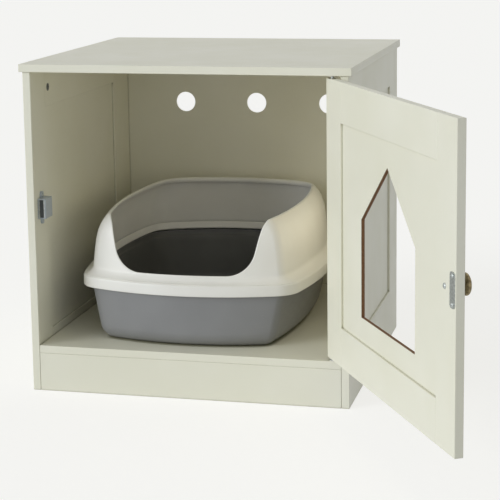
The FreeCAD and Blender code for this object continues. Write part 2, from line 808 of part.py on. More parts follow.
def build_hood():
    skirt_low = hood_seat_z + hood_wall - rim_drop
    skirt_high = hood_seat_z + hood_wall / 2
    ledge_z = skirt_low + rim_drop + ledge_rise

    def wall(lean, z, inset=0.0):
        """The hood's wall where it has taken this share of its lean."""
        return wall_outline(
            ledge_side_inset + hood_lean_side * lean,
            ledge_front_inset + hood_lean_front * lean,
            ledge_rear_inset + hood_lean_rear * lean,
            z,
            inset,
        )

    def bulging(inset):
        height = hood_top_z - ledge_z
        return [wall(lean, ledge_z + height * share, inset) for share, lean in wall_bulge]

    outer = lofted(
        rim_outline(skirt_low),
        rim_outline(skirt_high),
        wall(0, ledge_z),
        *bulging(0),
        wall(1, hood_top_z),
    )
    inner = lofted(
        rim_outline(skirt_low - 1, hood_wall),
        rim_outline(hood_seat_z, hood_wall),
        wall(0, ledge_z - hood_wall, hood_wall),
        *bulging(hood_wall),
        wall(1, hood_top_z - hood_wall, hood_wall),
    )
    mouth = lofted(
        wall(1, hood_top_z - 2 * hood_wall, hood_lip),
        wall(1, hood_top_z + 1, hood_lip),
    )
    hood = outer.cut(inner).cut(mouth)

    # The entry is cut through the front wall, with round lower corners, and widens at the top.
    sill_z = ledge_z + entry_sill
    above = hood_top_z + 1
    half = entry_half_width
    wide = half + entry_flare
    flare_z = hood_top_z - entry_flare_height
    corner_z = sill_z + entry_corner
    low_x = half - entry_corner
    slant = entry_corner * math.sqrt(0.5)

    def at(x, z):
        return Vector(tray_offset + x, 0, z)

    def flare(side):
        curve = Part.BezierCurve()
        curve.setPoles([
            at(side * half, flare_z),
            at(side * half, flare_z + entry_flare_height * 0.65),
            at(side * (half + entry_flare * 0.35), hood_top_z),
            at(side * wide, hood_top_z),
        ])
        return curve.toShape()

    def low_corner(side):
        middle = at(side * (low_x + slant), corner_z - slant)
        return Part.Arc(at(side * half, corner_z), middle, at(side * low_x, sill_z)).toShape()

    edges = [
        Part.makeLine(at(-wide, above), at(-wide, hood_top_z)),
        flare(-1),
        Part.makeLine(at(-half, flare_z), at(-half, corner_z)),
        low_corner(-1),
        Part.makeLine(at(-low_x, sill_z), at(low_x, sill_z)),
        low_corner(1),
        Part.makeLine(at(half, corner_z), at(half, flare_z)),
        flare(1),
        Part.makeLine(at(wide, hood_top_z), at(wide, above)),
        Part.makeLine(at(wide, above), at(-wide, above)),
    ]
    notch = Part.Face(Part.Wire(Part.sortEdges(edges)[0])).extrude(Vector(0, rim_front + entry_reach, 0))
    hood = hood.cut(notch)
    save("tray_hood", hood)


os.makedirs("parts", exist_ok=True)
build_cabinet()
build_door()
build_tray()
build_hood()
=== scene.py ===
import json
import math

import bmesh
import bpy
from mathutils import Matrix, Vector


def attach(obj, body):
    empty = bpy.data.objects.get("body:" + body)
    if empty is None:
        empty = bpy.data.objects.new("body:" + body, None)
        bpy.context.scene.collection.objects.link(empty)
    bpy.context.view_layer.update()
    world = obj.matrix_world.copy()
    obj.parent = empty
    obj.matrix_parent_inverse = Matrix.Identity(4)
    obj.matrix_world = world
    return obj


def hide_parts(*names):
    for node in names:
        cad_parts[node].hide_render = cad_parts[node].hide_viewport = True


# Litter box cabinet with its door open 120 degrees. The carcass and the door are shown as the
# CAD frame has them; the moulded tray and hood, the knob and the screws are modelled here.

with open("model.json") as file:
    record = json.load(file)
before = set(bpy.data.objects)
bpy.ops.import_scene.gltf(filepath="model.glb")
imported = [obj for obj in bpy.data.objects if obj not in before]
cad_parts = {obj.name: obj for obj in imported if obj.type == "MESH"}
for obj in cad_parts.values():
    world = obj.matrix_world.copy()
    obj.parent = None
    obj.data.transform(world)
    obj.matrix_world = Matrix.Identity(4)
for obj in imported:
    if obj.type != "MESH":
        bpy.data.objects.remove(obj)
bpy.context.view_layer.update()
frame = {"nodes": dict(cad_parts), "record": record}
record = frame["record"]

MM = 0.001
DRAWN_FRONT = 6.0       # the carcass's front plane is this far in front of the frame's origin


# --- Colours and nodes ---------------------------------------------------------------------
def srgb(hex_text):
    """A written sRGB colour as the linear RGBA that the shaders take."""
    linear = []
    for start in (1, 3, 5):
        value = int(hex_text[start:start + 2], 16) / 255
        linear.append(value / 12.92 if value <= 0.04045 else ((value + 0.055) / 1.055) ** 2.4)
    return (*linear, 1.0)


def add(tree, kind, inputs=None, **settings):
    """Adds one node. Settings are its own properties; inputs are values or the sockets linked in."""
    made = tree.nodes.new(kind)
    for key, value in settings.items():
        setattr(made, key, value)
    for key, value in (inputs or {}).items():
        if isinstance(value, bpy.types.NodeSocket):
            tree.links.new(value, made.inputs[key])
        else:
            made.inputs[key].default_value = value
    return made


def new_material(name):
    material = bpy.data.materials.new(name)
    material.use_nodes = True
    tree = material.node_tree
    tree.nodes.clear()
    output = add(tree, "ShaderNodeOutputMaterial")
    place = add(tree, "ShaderNodeTexCoord").outputs["Object"]
    return material, tree, output, place


def per_metre(size_mm):
    """Noise scale whose features are about this many millimetres across."""
    return 1 / (size_mm * MM)


# Sockets of the Mix node when it mixes colours.
MIX_SHARE, MIX_FROM, MIX_TO, MIX_COLOUR = 0, 6, 7, 2

# Most of a noise texture's values lie between these two.
NOISE_LOW = 0.3
NOISE_HIGH = 0.7

PAINT_TONES = ("#E9E6D2", "#EEEBDA")
RUBBED_PAINT = "#D8D3BC"
# Darker tone of the painted shade in the seams and inner corners.
SEAM_SHADE_TONE = "#8F8B68"
SAWN_MDF_TONES = ("#5E4026", "#8A6340")
BEECH_TONES = ("#B98C5C", "#DDB98E")
RUBBED_EDGE_MM = 1.2
# How far from a seam or inner corner the painted shade reaches.
SEAM_SHADE_REACH_MM = 7


# --- Finishes ------------------------------------------------------------------------------
def sprayed_lacquer_on_mdf(name, tone_low, tone_high, sawn_normal=None):
    """Satin lacquer sprayed on MDF: nearly flat, with a faint orange peel, an uneven tone and
    edges where the coat is thin and rubbed. With sawn_normal, faces that don't look along it
    are the bare edge that the saw left in the board."""
    material, tree, output, place = new_material(name)
    cloud = add(tree, "ShaderNodeTexNoise", {"Vector": place, "Scale": per_metre(160), "Detail": 3.0})
    # The real peel is about 1 mm; it is drawn at 4 mm so that it shows at this image size.
    peel = add(tree, "ShaderNodeTexNoise", {"Vector": place, "Scale": per_metre(4), "Detail": 2.0})
    handled = add(tree, "ShaderNodeTexNoise", {"Vector": place, "Scale": per_metre(35), "Detail": 5.0})
    tone_share = add(tree, "ShaderNodeMapRange", {
        "Value": cloud.outputs["Fac"], "From Min": NOISE_LOW, "From Max": NOISE_HIGH,
        "To Min": 0.0, "To Max": 1.0,
    })
    tone = add(tree, "ShaderNodeMix", {
        MIX_SHARE: tone_share.outputs["Result"], MIX_FROM: srgb(tone_low), MIX_TO: srgb(tone_high),
    }, data_type="RGBA")
    # Edges: the normal of a small rounding differs from the face's own normal there.
    rounded = add(tree, "ShaderNodeBevel", {"Radius": RUBBED_EDGE_MM * MM}, samples=4)
    facing = add(tree, "ShaderNodeNewGeometry")
    likeness = add(tree, "ShaderNodeVectorMath", {
        0: rounded.outputs["Normal"], 1: facing.outputs["Normal"],
    }, operation="DOT_PRODUCT")
    rubbed = add(tree, "ShaderNodeMapRange", {
        "Value": likeness.outputs["Value"], "From Min": 0.99, "From Max": 0.85, "To Min": 0.0, "To Max": 1.0,
    })
    patchy = add(tree, "ShaderNodeMapRange", {
        "Value": handled.outputs["Fac"], "From Min": 0.42, "From Max": 0.62, "To Min": 0.15, "To Max": 0.7,
    })
    worn = add(tree, "ShaderNodeMath", {
        0: rubbed.outputs["Result"], 1: patchy.outputs["Result"],
    }, operation="MULTIPLY")
    rubbed_coat = add(tree, "ShaderNodeMix", {
        MIX_SHARE: worn.outputs["Value"], MIX_FROM: tone.outputs[MIX_COLOUR], MIX_TO: srgb(RUBBED_PAINT),
    }, data_type="RGBA")
    # Painted shade: the seams and the inner corners of the frames are darkened where little light reaches
    # them.
    open_space = add(tree, "ShaderNodeAmbientOcclusion", {"Distance": SEAM_SHADE_REACH_MM * MM},
                     samples=4, only_local=False)
    seam_shade = add(tree, "ShaderNodeMapRange", {
        "Value": open_space.outputs["AO"], "From Min": 0.75, "From Max": 0.25, "To Min": 0.0, "To Max": 0.8,
    })
    coat = add(tree, "ShaderNodeMix", {
        MIX_SHARE: seam_shade.outputs["Result"], MIX_FROM: rubbed_coat.outputs[MIX_COLOUR],
        MIX_TO: srgb(SEAM_SHADE_TONE),
    }, data_type="RGBA")
    sheen = add(tree, "ShaderNodeMapRange", {
        "Value": handled.outputs["Fac"], "From Min": NOISE_LOW, "From Max": NOISE_HIGH,
        "To Min": 0.40, "To Max": 0.52,
    })
    relief = add(tree, "ShaderNodeBump", {
        "Height": peel.outputs["Fac"], "Strength": 0.05, "Distance": 0.5 * MM,
    })
    paint = add(tree, "ShaderNodeBsdfPrincipled", {
        "Base Color": coat.outputs[MIX_COLOUR],
        "Roughness": sheen.outputs["Result"],
        "IOR": 1.5,
        "Normal": relief.outputs["Normal"],
    })
    shown = paint
    if sawn_normal is not None:
        # MDF's fibres are well under 1 mm; they are drawn coarser so that they show at this image size.
        fibres = add(tree, "ShaderNodeTexNoise", {"Vector": place, "Scale": per_metre(1.5), "Detail": 4.0})
        fibre_share = add(tree, "ShaderNodeMapRange", {
            "Value": fibres.outputs["Fac"], "From Min": NOISE_LOW, "From Max": NOISE_HIGH,
            "To Min": 0.0, "To Max": 1.0,
        })
        bare = add(tree, "ShaderNodeMix", {
            MIX_SHARE: fibre_share.outputs["Result"], MIX_FROM: srgb(SAWN_MDF_TONES[0]),
            MIX_TO: srgb(SAWN_MDF_TONES[1]),
        }, data_type="RGBA")
        rough = add(tree, "ShaderNodeBump", {
            "Height": fibres.outputs["Fac"], "Strength": 0.4, "Distance": 0.3 * MM,
        })
        sawn = add(tree, "ShaderNodeBsdfPrincipled", {
            "Base Color": bare.outputs[MIX_COLOUR],
            "Roughness": 0.85,
            "IOR": 1.5,
            "Normal": rough.outputs["Normal"],
        })
        own_normal = add(tree, "ShaderNodeTexCoord").outputs["Normal"]
        along_sheet = add(tree, "ShaderNodeVectorMath", {0: own_normal, 1: sawn_normal},
                          operation="DOT_PRODUCT")
        size = add(tree, "ShaderNodeMath", {0: along_sheet.outputs["Value"]}, operation="ABSOLUTE")
        edge_face = add(tree, "ShaderNodeMath", {0: size.outputs["Value"], 1: 0.5}, operation="LESS_THAN")
        shown = add(tree, "ShaderNodeMixShader", {
            0: edge_face.outputs["Value"], 1: paint.outputs[0], 2: sawn.outputs[0],
        })
    tree.links.new(shown.outputs[0], output.inputs["Surface"])
    return material


def moulded_plastic(name, dark, light, roughness, grain_mm, scuffed=0.0):
    """Injection-moulded plastic: the mould's fine grain, a slow change of tone where the melt
    flowed, and scuffs that run lengthways where it is slid in and out."""
    material, tree, output, place = new_material(name)
    # The real grain is a fraction of a millimetre; it is drawn coarser for this image size.
    grain = add(tree, "ShaderNodeTexNoise", {"Vector": place, "Scale": per_metre(grain_mm), "Detail": 3.0})
    flow = add(tree, "ShaderNodeTexNoise", {"Vector": place, "Scale": per_metre(90), "Detail": 2.0})
    stretched = add(tree, "ShaderNodeVectorMath", {0: place, 1: (1.0, 0.12, 1.0)}, operation="MULTIPLY")
    scratches = add(tree, "ShaderNodeTexNoise", {
        "Vector": stretched.outputs["Vector"], "Scale": per_metre(3), "Detail": 5.0,
    })
    flow_share = add(tree, "ShaderNodeMapRange", {
        "Value": flow.outputs["Fac"], "From Min": NOISE_LOW, "From Max": NOISE_HIGH,
        "To Min": 0.0, "To Max": 1.0,
    })
    tone = add(tree, "ShaderNodeMix", {
        MIX_SHARE: flow_share.outputs["Result"], MIX_FROM: srgb(dark), MIX_TO: srgb(light),
    }, data_type="RGBA")
    scuff = add(tree, "ShaderNodeMapRange", {
        "Value": scratches.outputs["Fac"], "From Min": 0.58, "From Max": 0.72,
        "To Min": 0.0, "To Max": scuffed,
    })
    coloured = add(tree, "ShaderNodeMix", {
        MIX_SHARE: scuff.outputs["Result"], MIX_FROM: tone.outputs[MIX_COLOUR], MIX_TO: srgb(light),
    }, data_type="RGBA")
    sheen = add(tree, "ShaderNodeMapRange", {
        "Value": scratches.outputs["Fac"], "From Min": NOISE_LOW, "From Max": NOISE_HIGH,
        "To Min": roughness - 0.05, "To Max": roughness + 0.07,
    })
    relief = add(tree, "ShaderNodeBump", {
        "Height": grain.outputs["Fac"], "Strength": 0.10, "Distance": 0.3 * MM,
    })
    plastic = add(tree, "ShaderNodeBsdfPrincipled", {
        "Base Color": coloured.outputs[MIX_COLOUR],
        "Roughness": sheen.outputs["Result"],
        "IOR": 1.49,
        "Normal": relief.outputs["Normal"],
    })
    tree.links.new(plastic.outputs[0], output.inputs["Surface"])
    return material


def worked_metal(name, dark, light, roughness, grain_mm, bump):
    """Metal whose tone and shine wander, with fine pits or plating grain in its surface."""
    material, tree, output, place = new_material(name)
    grain = add(tree, "ShaderNodeTexNoise", {"Vector": place, "Scale": per_metre(grain_mm), "Detail": 4.0})
    # Real plating grain is finer than this; it is drawn coarser for the image size.
    fine = add(tree, "ShaderNodeTexNoise", {"Vector": place, "Scale": per_metre(0.8), "Detail": 3.0})
    share = add(tree, "ShaderNodeMapRange", {
        "Value": grain.outputs["Fac"], "From Min": 0.35, "From Max": 0.65, "To Min": 0.0, "To Max": 1.0,
    })
    tone = add(tree, "ShaderNodeMix", {
        MIX_SHARE: share.outputs["Result"], MIX_FROM: srgb(dark), MIX_TO: srgb(light),
    }, data_type="RGBA")
    shine = add(tree, "ShaderNodeMapRange", {
        "Value": grain.outputs["Fac"], "From Min": NOISE_LOW, "From Max": NOISE_HIGH,
        "To Min": roughness + 0.1, "To Max": roughness - 0.06,
    })
    relief = add(tree, "ShaderNodeBump", {
        "Height": fine.outputs["Fac"], "Strength": bump, "Distance": 0.1 * MM,
    })
    metal = add(tree, "ShaderNodeBsdfPrincipled", {
        "Base Color": tone.outputs[MIX_COLOUR],
        "Metallic": 1.0,
        "Roughness": shine.outputs["Result"],
        "Normal": relief.outputs["Normal"],
    })
    tree.links.new(metal.outputs[0], output.inputs["Surface"])
    return material


def turned_beech():
    """Dowel stock: pale brown with darker lines of grain. The lines run upright in every dowel,
    also in those that lie level, and no dowel shows while the cabinet is together."""
    material, tree, output, place = new_material("turned_beech")
    stretched = add(tree, "ShaderNodeVectorMath", {0: place, 1: (1.0, 1.0, 0.15)}, operation="MULTIPLY")
    rings = add(tree, "ShaderNodeTexNoise", {
        "Vector": stretched.outputs["Vector"], "Scale": per_metre(1.5), "Detail": 4.0,
    })
    share = add(tree, "ShaderNodeMapRange", {
        "Value": rings.outputs["Fac"], "From Min": 0.35, "From Max": 0.65, "To Min": 0.0, "To Max": 1.0,
    })
    tone = add(tree, "ShaderNodeMix", {
        MIX_SHARE: share.outputs["Result"], MIX_FROM: srgb(BEECH_TONES[0]), MIX_TO: srgb(BEECH_TONES[1]),
    }, data_type="RGBA")
    dryness = add(tree, "ShaderNodeMapRange", {
        "Value": rings.outputs["Fac"], "From Min": NOISE_LOW, "From Max": NOISE_HIGH,
        "To Min": 0.68, "To Max": 0.56,
    })
    relief = add(tree, "ShaderNodeBump", {
        "Height": rings.outputs["Fac"], "Strength": 0.2, "Distance": 0.1 * MM,
    })
    wood = add(tree, "ShaderNodeBsdfPrincipled", {
        "Base Color": tone.outputs[MIX_COLOUR],
        "Roughness": dryness.outputs["Result"],
        "IOR": 1.5,
        "Normal": relief.outputs["Normal"],
    })
    tree.links.new(wood.outputs[0], output.inputs["Surface"])
    return material


DOOR_TURN = math.radians(120)
finishes = {
    "painted_board": sprayed_lacquer_on_mdf("sprayed_lacquer_on_mdf", *PAINT_TONES),
    "zinc_plated_steel": worked_metal("zinc_plated_steel", "#A2A7A6", "#C4C9C8", 0.36, 3, 0.15),
    "zinc_die_cast": worked_metal("zinc_die_cast", "#77797B", "#97999B", 0.5, 2, 0.3),
    "beech_dowel": turned_beech(),
    "nylon": moulded_plastic("turned_nylon", "#E4E1D8", "#EFECE4", 0.4, 2),
    "catch_plastic": moulded_plastic("moulded_catch_plastic", "#B2B9BF", "#BEC5CB", 0.4, 2),
    "ferrite": moulded_plastic("pressed_ferrite", "#4A4D4D", "#585B5B", 0.7, 1),
    "aged_brass": worked_metal("aged_brass", "#6A5F49", "#9C8E6E", 0.42, 4, 0.25),
    "grey_polypropylene": moulded_plastic("grey_polypropylene", "#838383", "#8B8B8B", 0.40, 1.2, 0.5),
    "cream_polypropylene": moulded_plastic("cream_polypropylene", "#ECE9E1", "#F1EFE8", 0.38, 1.2, 0.5),
}
# The tray's inner side is given a darker, matt grey: painted shade inside the pan.
tray_inside_shade = moulded_plastic("polypropylene_painted_shade", "#5B5B58", "#686865", 0.50, 1.2, 0.5)
door_sheet = sprayed_lacquer_on_mdf(
    "lacquered_sheet_with_sawn_edge", *PAINT_TONES,
    (-math.sin(DOOR_TURN), math.cos(DOOR_TURN), 0.0),
)

slot_of = {part["node"]: part["material_slot"] for part in record["subparts"]}
for name, piece in frame["nodes"].items():
    material = door_sheet if name == "door_panel" else finishes[slot_of[name]]
    for slot in piece.material_slots:
        slot.link = "OBJECT"
        slot.material = material


# --- Building meshes -------------------------------------------------------------------------
def skin(name, rows, joined, slot, body, nodes=(), sharp=50, inside=None):
    """A closed piece from rows of points in drawing millimetres; every row is a closed ring.
    joined connects the last row to the first; otherwise both are closed with a flat face.
    inside is (first row, material) where the piece has another finish on its inner side."""
    count = len(rows[0])
    points = [((x * MM), (y - DRAWN_FRONT) * MM, z * MM) for row in rows for x, y, z in row]
    faces = []
    for index in range(len(rows) if joined else len(rows) - 1):
        here = index * count
        there = (index + 1) % len(rows) * count
        for step in range(count):
            ahead = (step + 1) % count
            faces.append((here + step, here + ahead, there + ahead, there + step))
    if not joined:
        last = (len(rows) - 1) * count
        faces.append(tuple(reversed(range(count))))
        faces.append(tuple(range(last, last + count)))
    mesh = bpy.data.meshes.new(name)
    mesh.from_pydata(points, [], faces)
    if inside:
        for face in mesh.polygons:
            lowest = min(face.vertices) // count
            face.material_index = 1 if lowest >= inside[0] else 0
    shape = bmesh.new()
    shape.from_mesh(mesh)
    bmesh.ops.remove_doubles(shape, verts=shape.verts, dist=1e-6)
    bmesh.ops.recalc_face_normals(shape, faces=shape.faces)
    shape.to_mesh(mesh)
    shape.free()
    mesh.shade_smooth()
    mesh.set_sharp_from_angle(angle=math.radians(sharp))
    mesh.materials.append(finishes[slot])
    if inside:
        mesh.materials.append(inside[1])
    piece = bpy.data.objects.new(name, mesh)
    bpy.context.scene.collection.objects.link(piece)
    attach(piece, body)
    if nodes:
        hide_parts(*nodes)
    return piece


# --- The outline that the tray and the hood share ------------------------------------------------
TRAY_MIDDLE = -16.0
RIM_HALF_WIDTH = 192.0
RIM_FRONT = 20.0
RIM_REAR = 465.0
FRONT_BOW = 400.0
SIDE_BOW = 750.0
REAR_BOW = 300.0
RIM_CORNER = 45.0
WALL_CORNER = 20.0
REAR_CORNER = 52.0
LEAST_CORNER = 2.0


def touching_corner(bow_a, radius_a, bow_b, radius_b, corner):
    """Centre of a corner arc that runs smoothly into two bows whose centres are given."""
    reach_a = radius_a - corner
    reach_b = radius_b - corner
    apart = bow_b - bow_a
    distance = apart.length
    along_line = (distance ** 2 + reach_a ** 2 - reach_b ** 2) / (2 * distance)
    aside = math.sqrt(reach_a ** 2 - along_line ** 2)
    unit = apart / distance
    foot = bow_a + unit * along_line
    across = Vector((-unit.y, unit.x))
    return max((foot + across * aside, foot - across * aside), key=lambda centre: centre.x)


def heading(from_point, to_point):
    return math.atan2(to_point.y - from_point.y, to_point.x - from_point.x)


def half_outline(side, front, rear, corner, inset):
    """Five arcs from the middle of the front round the right side to the middle of the rear."""
    half_width = RIM_HALF_WIDTH - side - inset
    near_y = RIM_FRONT + front + inset
    far_y = RIM_REAR - rear - inset
    r_front = FRONT_BOW - inset
    r_side = SIDE_BOW - inset
    r_rear = REAR_BOW - inset
    r_near = max(corner - inset, LEAST_CORNER)
    r_far = max(REAR_CORNER - inset, LEAST_CORNER)
    bow_front = Vector((0, near_y + r_front))
    bow_side = Vector((half_width - r_side, (near_y + far_y) / 2))
    bow_rear = Vector((0, far_y - r_rear))
    near = touching_corner(bow_front, r_front, bow_side, r_side, r_near)
    far = touching_corner(bow_rear, r_rear, bow_side, r_side, r_far)
    turns = (
        -math.pi / 2,
        heading(bow_front, near),
        heading(bow_side, near),
        heading(bow_side, far),
        heading(bow_rear, far),
        math.pi / 2,
    )
    centres = ((bow_front, r_front), (near, r_near), (bow_side, r_side), (far, r_far), (bow_rear, r_rear))
    return [(centre, radius, turns[i], turns[i + 1]) for i, (centre, radius) in enumerate(centres)]


def on_outline(arcs, station):
    """Point of the half outline; the whole part of station is the arc, 0 to 5 in all."""
    index = min(int(station), 4)
    centre, radius, start, end = arcs[index]
    angle = start + (end - start) * (station - index)
    return centre.x + radius * math.cos(angle), centre.y + radius * math.sin(angle)


def whole_ring(half):
    """Adds the left half, mirrored, to points that run from the front middle to the rear middle."""
    right_side = [(x + TRAY_MIDDLE, y, z) for x, y, z in half]
    left_side = [(TRAY_MIDDLE - x, y, z) for x, y, z in reversed(half[1:-1])]
    return right_side + left_side


def stations(counts):
    found = []
    for index, count in enumerate(counts):
        found += [index + step / count for step in range(count)]
    return found + [5.0]


# --- Litter tray -------------------------------------------------------------------------------
TRAY_BASE_Z = 72.3
TRAY_RIM_Z = 170.8
TRAY_WALL = 2.5
TRAY_ROUND = 22.0
BASE_INSETS = (33.0, 11.0, 20.0)        # side, front, rear, from the rim's outline
MOUTH_INSETS = (14.0, 7.0, 9.0)
RIM_PLATE_INSET = 3.0
RIM_PLATE = 3.0
BELOW_RIM = 2.0         # the plain wall stops this far under the rim plate
MIDDLE_INSET = 60.0     # of the flat middle of the underside and of the floor
TRAY_STEPS = (14, 12, 24, 12, 12)       # along each arc of the outline
ROUND_ROWS = 8
WALL_ROWS = 12
INNER_WALL_ROWS = 10
# Underside, from a shallow hollow to the foot that the tray stands on, as (height, inset).
FOOT_ROWS = ((73.3, MIDDLE_INSET), (73.3, 26.0), (73.1, 24.0), (72.5, 23.0), (TRAY_BASE_Z, 22.0))
# Rim plate, from its lower edge to its top, as (height over the rim, inset).
RIM_ROWS = (
    (-RIM_PLATE, 4.2), (-RIM_PLATE + 0.4, 3.4), (-RIM_PLATE / 2, RIM_PLATE_INSET), (-0.5, 3.3), (0, 4.2),
)
# Mouth, and a small step inside it where the wall gets its full thickness, as (depth, inset past the wall).
MOUTH_ROWS = ((0.0, -1.4), (0.3, -0.5), (1.2, 0.0), (8.0, 0.0), (9.2, 0.4), (10.0, 1.2), (11.2, 1.5))


def build_tray():
    height = TRAY_RIM_Z - TRAY_BASE_Z
    stops = stations(TRAY_STEPS)

    def wall_row(z, inset):
        share = (z - TRAY_BASE_Z) / height
        side, front, rear = (low + (high - low) * share for low, high in zip(BASE_INSETS, MOUTH_INSETS))
        arcs = half_outline(side, front, rear, WALL_CORNER, inset)
        return whole_ring([(*on_outline(arcs, stop), z) for stop in stops])

    def rim_row(z, inset):
        arcs = half_outline(0, 0, 0, RIM_CORNER, inset)
        return whole_ring([(*on_outline(arcs, stop), z) for stop in stops])

    rows = [wall_row(z, inset) for z, inset in FOOT_ROWS]
    for step in range(ROUND_ROWS + 1):
        angle = math.pi / 2 * step / ROUND_ROWS
        sunk = TRAY_ROUND * (1 - math.cos(angle))
        rows.append(wall_row(TRAY_BASE_Z + sunk, TRAY_ROUND * (1 - math.sin(angle))))
    plain_height = height - TRAY_ROUND - RIM_PLATE - BELOW_RIM
    for step in range(1, WALL_ROWS + 1):
        rows.append(wall_row(TRAY_BASE_Z + TRAY_ROUND + plain_height * step / WALL_ROWS, 0))
    rows.append(wall_row(TRAY_RIM_Z - RIM_PLATE - 0.6, -0.3))
    rows.append(wall_row(TRAY_RIM_Z - RIM_PLATE, -1.2))
    rows += [rim_row(TRAY_RIM_Z + over, inset) for over, inset in RIM_ROWS]
    first_inside = len(rows) + 2
    rows += [wall_row(TRAY_RIM_Z - depth, TRAY_WALL + past_wall) for depth, past_wall in MOUTH_ROWS]
    step_depth, step_inset = MOUTH_ROWS[-1]
    floor_z = TRAY_BASE_Z + TRAY_WALL
    inner_round = TRAY_ROUND - TRAY_WALL
    for step in range(1, INNER_WALL_ROWS + 1):
        drop = (height - step_depth - TRAY_WALL - inner_round) * step / INNER_WALL_ROWS
        rows.append(wall_row(TRAY_RIM_Z - step_depth - drop, TRAY_WALL + step_inset))
    for step in range(1, ROUND_ROWS + 1):
        angle = math.pi / 2 * step / ROUND_ROWS
        rows.append(wall_row(floor_z + inner_round * (1 - math.sin(angle)),
                             TRAY_WALL + step_inset + inner_round * (1 - math.cos(angle))))
    rows.append(wall_row(floor_z, MIDDLE_INSET))
    # The rows from first_inside on take the darker grey of the painted shade.
    skin("litter_tray_moulding", rows, False, "grey_polypropylene", "tray", ["litter_tray"],
         inside=(first_inside, tray_inside_shade))


# --- Hood ----------------------------------------------------------------------------------------
SKIRT_LOW_Z = 155.0
SKIRT_HIGH_Z = 172.4
LEDGE_Z = 184.0
SILL_Z = 185.0
HOOD_TOP_Z = 268.0
HOOD_WALL = 2.4
LEDGE_INSETS = (17.0, 13.0, 12.0)
HOOD_LEAN = (25.5, 22.0, 14.0)
ENTRY_HALF_WIDTH = 112.0
ENTRY_CORNER = 43.0
ENTRY_FLARE = 19.0
ENTRY_TURN = math.radians(72)     # of the round corner, before the edge straightens upwards
SILL_STEPS = 14
TURN_STEPS = 20
FLARE_STEPS = 24
LEAN_EVEN = 0.36        # share of the wall's lean that grows evenly; the rest comes near the top
SLOPE_EVEN = 0.45       # the same for the hollow slope between skirt and wall
FRONT_LIP = 0.8         # how far the lip is grown where the entry's edge meets the rim
HOOD_STEPS = (1, 1, 40, 16, 18)         # along each arc; the first two are made from the entry's edge
OUTER_ROWS = 24
INNER_ROWS = 16
INNER_CREASE_Z = 186.5
CREASE_DEPTH = 1.3
SEAT_Z = 171.1
FLANGE_LOW_Z = 174.5
EDGE_ROUND = 1.5
# The rim's lip as (inwards, downwards): rounded outer edge, flat top, turned-down inner edge.
LIP = (
    (0, 1.5), (0.15, 0.8), (0.6, 0.25), (1.4, 0), (3.0, 0.05), (4.6, 0.5), (6.0, 1.4), (7.1, 2.6), (7.9, 4.0),
    (8.4, 5.6), (8.6, 7.2), (8.4, 8.2), (7.8, 8.6), (7.1, 8.2), (6.4, 6.6), (5.4, 5.0), (4.2, 4.2),
    (3.1, 4.8), (2.4, 6.0),
)
SKIRT_OUTSIDE = (
    (1.2, 0), (0.5, 0.15), (0.1, 0.7), (0, 1.5), (0, 5), (0, 10), (0, 14.4), (0.15, 15.8), (0.6, 16.8),
    (1.3, 17.3), (2.2, 17.4),
)
SLOPE_SHARES = (0.15, 0.22, 0.3, 0.4, 0.5, 0.6, 0.7, 0.8, 0.9)
INNER_SLOPE_SHARES = (0.9, 0.75, 0.6, 0.45, 0.3, 0.15)
FLANGE_SHARES = (0.1, 0.3, 0.5, 0.7, 0.9)
FLANGE_EDGE = ((3.9, 0.5), (3.5, 0.05), (2.9, 0.0), (2.4, 0.5), (2.0, 3.0), (1.9, 7.0))
SKIRT_INSIDE = ((2.4, 15.9), (2.4, 12), (2.4, 8), (2.4, 4), (2.4, 1.2), (2.1, 0.3))


def lean_share(z):
    """How much of its lean the bulging wall has taken at this height."""
    share = (z - LEDGE_Z) / (HOOD_TOP_Z - LEDGE_Z)
    return LEAN_EVEN * share + (1 - LEAN_EVEN) * share ** 5 if share > 0 else 0.0


def hood_arcs(ledge_share, z, inset):
    lean = lean_share(z) if ledge_share == 1 else 0.0
    side, front, rear = (
        ledge * ledge_share + slant * lean for ledge, slant in zip(LEDGE_INSETS, HOOD_LEAN)
    )
    corner = RIM_CORNER + (WALL_CORNER - RIM_CORNER) * ledge_share
    return half_outline(side, front, rear, corner, inset)


def station_at(x, z):
    """Where along the wall's outline at this height the wall is x from the tray's middle."""
    arcs = hood_arcs(1, z, 0)
    low, high = 0.0, 2.2
    for _ in range(40):
        middle = (low + high) / 2
        if on_outline(arcs, middle)[0] < x:
            low = middle
        else:
            high = middle
    return (low + high) / 2


def entry_edge():
    """Half the entry's edge as (x, z, direction into the wall): sill, round corner, flare."""
    edge = []
    flat = ENTRY_HALF_WIDTH - ENTRY_CORNER
    for step in range(SILL_STEPS):
        edge.append((flat * step / SILL_STEPS, SILL_Z, (0.0, -1.0)))
    for step in range(TURN_STEPS):
        angle = ENTRY_TURN * step / TURN_STEPS
        x = flat + ENTRY_CORNER * math.sin(angle)
        z = SILL_Z + ENTRY_CORNER * (1 - math.cos(angle))
        edge.append((x, z, (math.sin(angle), -math.cos(angle))))
    run = Vector((math.cos(ENTRY_TURN), math.sin(ENTRY_TURN)))
    start = Vector((flat, SILL_Z + ENTRY_CORNER)) + Vector((run.y, -run.x)) * ENTRY_CORNER
    poles = (
        start,
        start + run * 20,
        Vector((ENTRY_HALF_WIDTH + ENTRY_FLARE * 0.3, HOOD_TOP_Z)),
        Vector((ENTRY_HALF_WIDTH + ENTRY_FLARE, HOOD_TOP_Z)),
    )
    for step in range(FLARE_STEPS + 1):
        t = step / FLARE_STEPS
        s = 1 - t
        spot = poles[0] * s ** 3 + poles[1] * 3 * s * s * t + poles[2] * 3 * s * t * t + poles[3] * t ** 3
        along = (poles[1] - poles[0]) * s * s
        along += (poles[2] - poles[1]) * 2 * s * t
        along += (poles[3] - poles[2]) * t * t
        along.normalize()
        edge.append((spot.x, spot.y, (along.y, -along.x)))
    return edge


